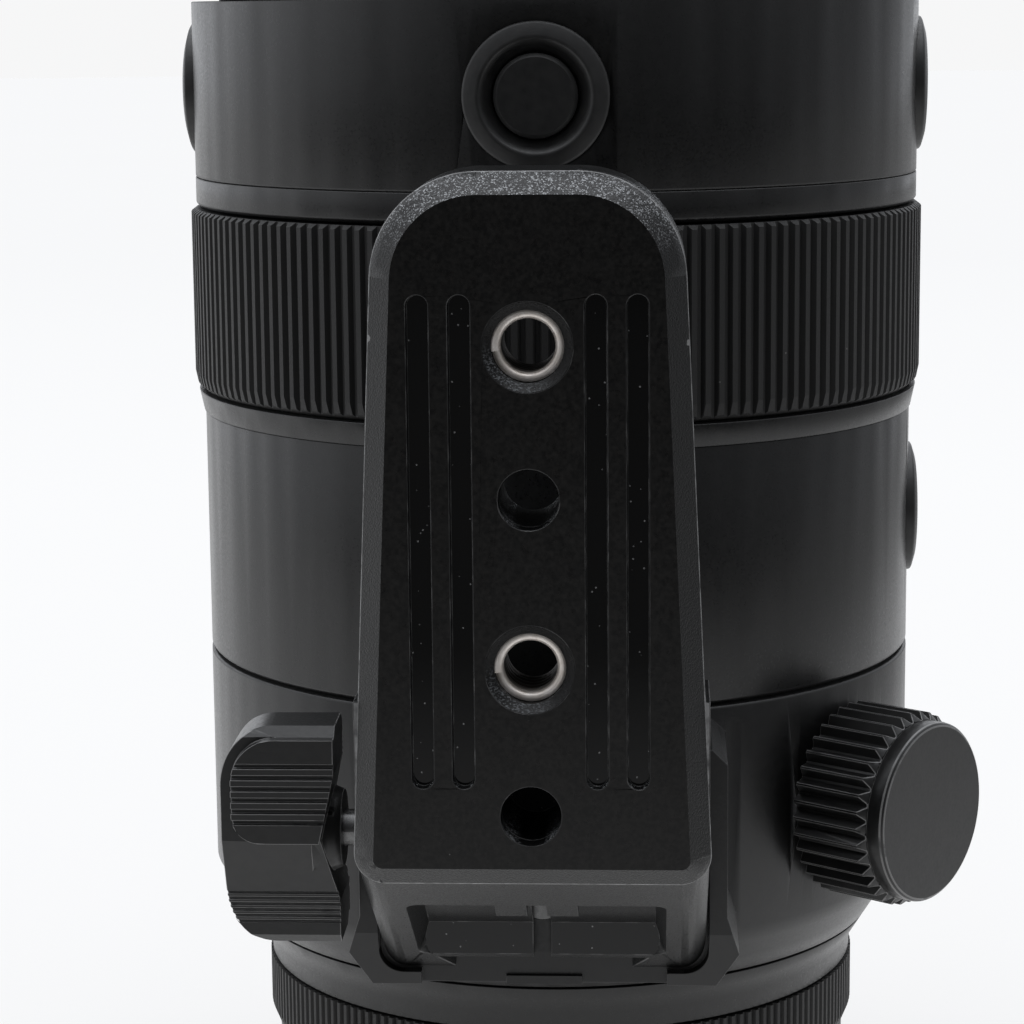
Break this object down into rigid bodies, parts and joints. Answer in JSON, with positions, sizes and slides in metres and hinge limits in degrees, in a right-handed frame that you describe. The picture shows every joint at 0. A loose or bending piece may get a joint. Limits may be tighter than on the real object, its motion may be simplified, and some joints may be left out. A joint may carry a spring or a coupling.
{
  "type": "camera zoom lens",
  "caption": "Telephoto zoom lens with a turning tripod collar, a slide-off clamp foot, ribbed zoom, focus and control rings and function buttons.",
  "frame": {"origin": "on the optical axis, in the plane of the mount flange that seats on the camera", "axes": "+Z along the optical axis to the front of the lens; the tripod foot hangs along -Y; +X is the photographer's left when the foot is down"},
  "size_m": [0.0934, 0.1234, 0.2241],
  "materials": {
    "barrel_paint": "satin black paint on light alloy",
    "collar_paint": "satin black paint on light alloy",
    "foot_paint": "fine grained black hard anodising",
    "filter_plastic": "matt black, glass filled",
    "bezel_plastic": "satin black",
    "ring_rubber": "fluted black rubber",
    "zoom_shell": "satin black",
    "grip_rubber": "fluted black rubber",
    "button_plastic": "smooth satin black",
    "knob_plastic": "satin black",
    "mount_metal": "plated brass, satin",
    "seal_rubber": "soft black rubber",
    "baffle_plastic": "dead matt black",
    "contact_gold": "gold plated",
    "screw_steel": "bright steel",
    "insert_steel": "stainless wire, warm silver",
    "rail_metal": "dark anodised",
    "cam_metal": "black anodised",
    "cell_black": "matt black",
    "pin_brass": "turned",
    "lens_glass": "coated optical glass",
    "board_green": "solder mask",
    "blade_black": "blackened"
  },
  "bodies": {
    "barrel": {"bayonet_mount": "mount_metal", "mount_screws": "screw_steel", "mount_gasket": "seal_rubber", "contact_block": "baffle_plastic", "contact_pins": "contact_gold", "rear_baffle": "baffle_plastic", "main_board": "board_green", "rear_barrel": "barrel_paint", "main_barrel": "barrel_paint", "trim_ring": "barrel_paint", "seam_ring": "barrel_paint", "upper_barrel": "barrel_paint", "front_barrel": "barrel_paint", "filter_ring": "filter_plastic", "button_bezels": "bezel_plastic", "switch_panel": "bezel_plastic", "guide_tube": "cam_metal", "front_cell": "cell_black", "front_element": "lens_glass", "front_doublet": "lens_glass", "retaining_ring": "cell_black", "rear_cell": "cell_black", "rear_element": "lens_glass", "rear_doublet": "lens_glass", "focus_rods": "screw_steel", "focus_motor": "screw_steel", "iris_plate": "blade_black", "iris_blades": "blade_black"},
    "collar": {"tripod_collar": "collar_paint", "foot_rail": "rail_metal", "rail_screws": "screw_steel"},
    "lock_knob": {"lock_knob": "knob_plastic", "lock_knob_cap": "knob_plastic", "lock_screw": "screw_steel"},
    "foot": {"tripod_foot": "foot_paint", "thread_inserts": "insert_steel"},
    "wing_knob": {"wing_knob": "knob_plastic", "wing_screw": "screw_steel"},
    "focus_ring": {"focus_ring": "ring_rubber"},
    "control_ring": {"control_ring": "ring_rubber"},
    "zoom": {"zoom_ring": "zoom_shell", "zoom_grip": "grip_rubber", "zoom_key": "rail_metal", "cam_tube": "cam_metal"},
    "variator": {"variator_cell": "cell_black", "variator_glass": "lens_glass", "variator_pins": "pin_brass"},
    "compensator": {"compensator_cell": "cell_black", "compensator_glass": "lens_glass", "compensator_pins": "pin_brass"},
    "focus_group": {"focus_cell": "cell_black", "focus_glass": "lens_glass"},
    "side_button": {"side_button": "button_plastic"},
    "stabiliser_switch": {"stabiliser_switch": "button_plastic"},
    "focus_limit_switch": {"focus_limit_switch": "button_plastic"},
    "focus_mode_switch": {"focus_mode_switch": "button_plastic"},
    "function_button_1": {"function_button_1": "button_plastic"},
    "function_button_2": {"function_button_2": "button_plastic"},
    "function_button_3": {"function_button_3": "button_plastic"},
    "function_button_4": {"function_button_4": "button_plastic"}
  },
  "joints": [
    {"name": "collar_turn", "type": "hinge", "parent": "barrel", "child": "collar", "pos_m": [0, 0, 0.04207], "axis": [0, 0, 1], "continuous": true},
    {"name": "lock_knob_turn", "type": "hinge", "parent": "collar", "child": "lock_knob", "pos_m": [0.03404, -0.0266, 0.045], "axis": [0.788, -0.6157, 0], "range_deg": [0, 270]},
    {"name": "foot_slide", "type": "slide", "parent": "collar", "child": "foot", "axis": [0, 0, 1], "range_m": [0, 0.036]},
    {"name": "wing_knob_turn", "type": "hinge", "parent": "foot", "child": "wing_knob", "pos_m": [-0.0206, -0.0593, 0.0504], "axis": [-1, 0, 0], "range_deg": [0, 180]},
    {"name": "focus_ring_turn", "type": "hinge", "parent": "barrel", "child": "focus_ring", "pos_m": [0, 0, 0.1008], "axis": [0, 0, 1], "continuous": true},
    {"name": "control_ring_turn", "type": "hinge", "parent": "barrel", "child": "control_ring", "pos_m": [0, 0, 0.015], "axis": [0, 0, 1], "continuous": true},
    {"name": "zoom_turn", "type": "hinge", "parent": "barrel", "child": "zoom", "pos_m": [0, 0, 0.16], "axis": [0, 0, 1], "range_deg": [0, 80]},
    {"name": "variator_slide", "type": "slide", "parent": "barrel", "child": "variator", "axis": [0, 0, 1], "range_m": [-0.032, 0]},
    {"name": "compensator_slide", "type": "slide", "parent": "barrel", "child": "compensator", "axis": [0, 0, 1], "range_m": [-0.012, 0]},
    {"name": "focus_slide", "type": "slide", "parent": "barrel", "child": "focus_group", "axis": [0, 0, 1], "range_m": [0, 0.018]},
    {"name": "function_button_1_press", "type": "slide", "parent": "barrel", "child": "function_button_1", "axis": [0.0122, 0.9999, 0], "range_m": [0, 0.0006], "stiffness_N_per_m": 1200, "springref_m": -0.0005},
    {"name": "function_button_2_press", "type": "slide", "parent": "barrel", "child": "function_button_2", "axis": [-0.9999, 0.0122, 0], "range_m": [0, 0.0006], "stiffness_N_per_m": 1200, "springref_m": -0.0005},
    {"name": "function_button_3_press", "type": "slide", "parent": "barrel", "child": "function_button_3", "axis": [-0.0122, -0.9999, 0], "range_m": [0, 0.0006], "stiffness_N_per_m": 1200, "springref_m": -0.0005},
    {"name": "function_button_4_press", "type": "slide", "parent": "barrel", "child": "function_button_4", "axis": [0.9999, -0.0122, 0], "range_m": [0, 0.0006], "stiffness_N_per_m": 1200, "springref_m": -0.0005},
    {"name": "side_button_press", "type": "slide", "parent": "barrel", "child": "side_button", "axis": [-1, 0, 0], "range_m": [0, 0.0006], "stiffness_N_per_m": 1200, "springref_m": -0.0005},
    {"name": "stabiliser_switch_slide", "type": "slide", "parent": "barrel", "child": "stabiliser_switch", "axis": [-0.5299, 0.848, 0], "range_m": [0, 0.004]},
    {"name": "focus_limit_switch_slide", "type": "slide", "parent": "barrel", "child": "focus_limit_switch", "axis": [-0.5299, 0.848, 0], "range_m": [0, 0.004]},
    {"name": "focus_mode_switch_slide", "type": "slide", "parent": "barrel", "child": "focus_mode_switch", "axis": [-0.5299, 0.848, 0], "range_m": [0, 0.004]}
  ],
  "couplings": [
    {"joint": "variator_slide", "follows": "zoom_turn", "m_per_rad": -0.022918},
    {"joint": "compensator_slide", "follows": "zoom_turn", "m_per_rad": -0.0085944}
  ]
}
